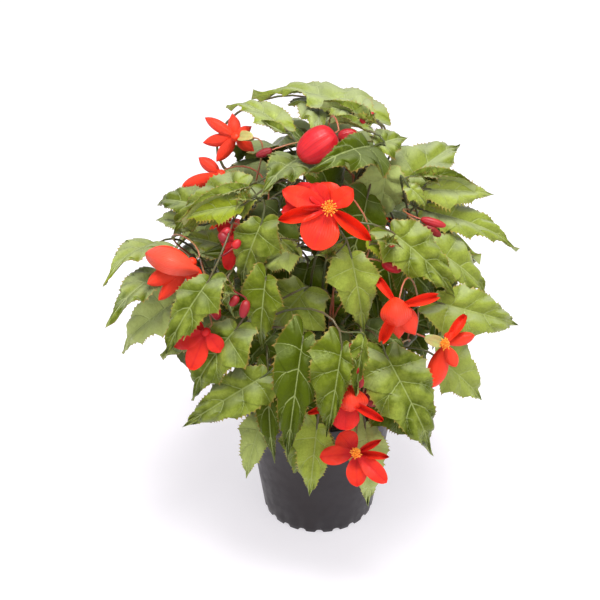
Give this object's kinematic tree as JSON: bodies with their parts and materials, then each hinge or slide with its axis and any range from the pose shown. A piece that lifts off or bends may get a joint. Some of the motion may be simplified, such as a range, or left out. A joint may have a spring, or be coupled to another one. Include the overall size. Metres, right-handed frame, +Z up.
{
  "type": "potted begonia",
  "caption": "Bushy begonia with toothed, pointed leaves and orange-red hanging blooms and buds, growing in soil in a black plastic nursery pot.",
  "frame": {"origin": "middle of the pot's foot, on the surface the pot stands on", "axes": "+Z up along the pot's axis; -Y is the front of the plant, +X its right side as seen from the front"},
  "size_m": [0.309, 0.3057, 0.3719],
  "materials": {
    "pot_plastic": "black moulded plastic, satin",
    "soil": "crumbly peat and bark",
    "foliage": "green leaf with a satin sheen, reddish stalks",
    "petal": "soft orange-red petal",
    "bud": "glossy crimson bud",
    "stamen": "waxy yellow-orange"
  },
  "bodies": {
    "root": {"pot": "pot_plastic", "soil": "soil", "stem_crown": "foliage", "stem_top_left": "foliage", "stem_front": "foliage", "stem_front_left": "foliage", "stem_left": "foliage", "stem_back_left": "foliage", "stem_back": "foliage", "stem_back_right": "foliage", "stem_right": "foliage", "stem_front_right": "foliage", "bloom_centre": "petal", "bloom_top_left": "petal", "bloom_left_high": "petal", "bloom_left": "petal", "bloom_left_low": "petal", "bloom_right": "petal", "bloom_far_right": "petal", "bloom_low": "petal", "bloom_lowest": "petal", "bloom_inner_left": "petal", "bloom_back_left": "petal", "bloom_back_right": "petal", "bloom_back_low": "petal", "stamens_centre": "stamen", "stamens_far_right": "stamen", "stamens_lowest": "stamen", "bud_large": "bud", "bud_crimson": "bud", "bud_dark_left": "bud", "bud_right_upper": "bud", "bud_right_lower": "bud", "bud_behind_bloom": "bud", "bud_dark_low": "bud", "bud_middle_right": "bud", "bud_left": "bud"}
  },
  "joints": []
}
